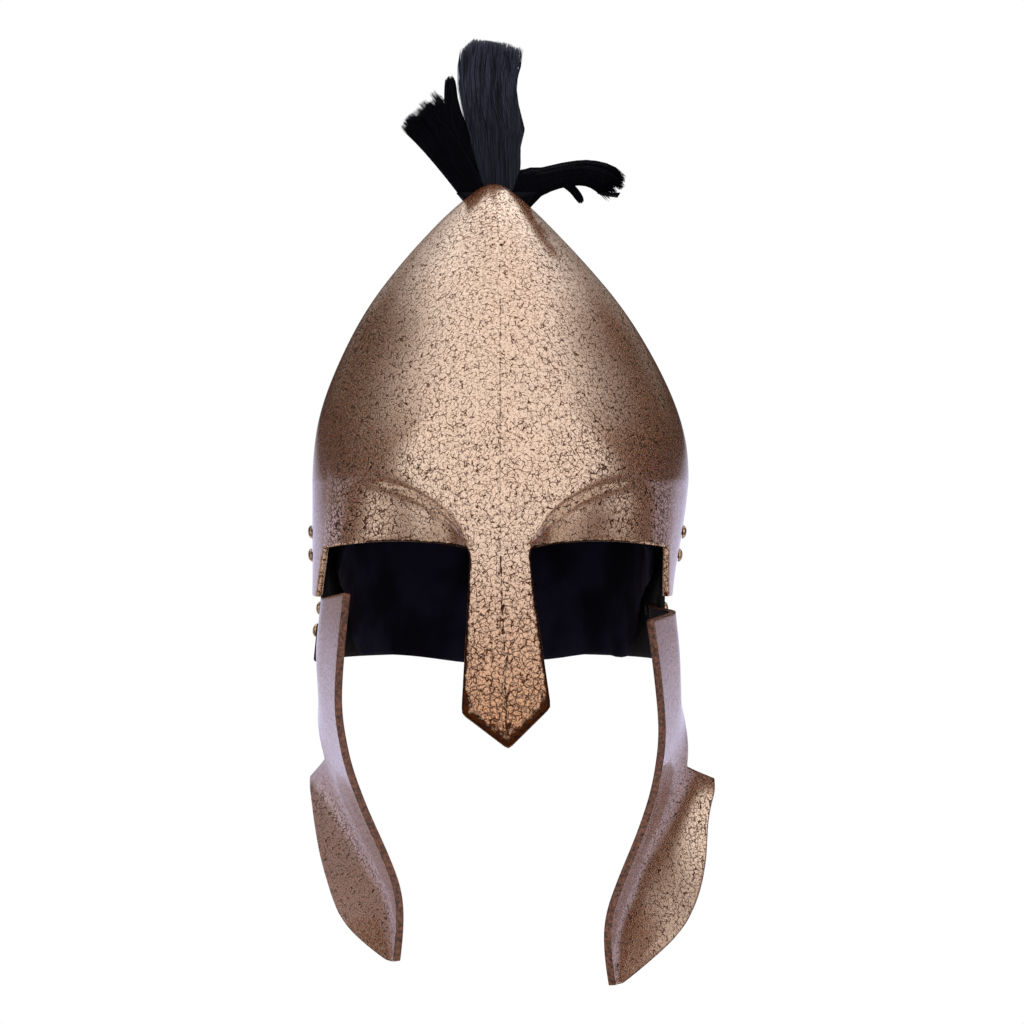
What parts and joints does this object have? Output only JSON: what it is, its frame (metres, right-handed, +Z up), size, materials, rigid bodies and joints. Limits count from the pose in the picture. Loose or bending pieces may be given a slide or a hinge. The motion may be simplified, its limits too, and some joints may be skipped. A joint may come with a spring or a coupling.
{
  "type": "leather helmet",
  "caption": "Pointed leather helmet with a brow relief, a long nasal, hanging cheek plates, a cloth lining and a horsehair plume.",
  "frame": {"origin": "inside the crown of the lining, where the top of the head rests", "axes": "+Z up, -Y the way the face looks, +X towards the wearer's left"},
  "size_m": [0.2199, 0.2395, 0.5046],
  "materials": {
    "gold_leather": "gold-tan crackle paint with a satin coat, dark burnished edges",
    "black_cloth": "matt black padded cloth",
    "black_hair": "black horsehair with a soft sheen",
    "antique_brass": "antique, dulled"
  },
  "bodies": {
    "root": {"front_shell": "gold_leather", "back_shell": "gold_leather", "cheek_plate_left": "gold_leather", "cheek_plate_right": "gold_leather", "lining": "black_cloth", "plume": "black_hair", "rivet_left_1": "antique_brass", "rivet_left_2": "antique_brass", "rivet_left_3": "antique_brass", "rivet_left_4": "antique_brass", "rivet_right_1": "antique_brass", "rivet_right_2": "antique_brass", "rivet_right_3": "antique_brass", "rivet_right_4": "antique_brass"}
  },
  "joints": []
}
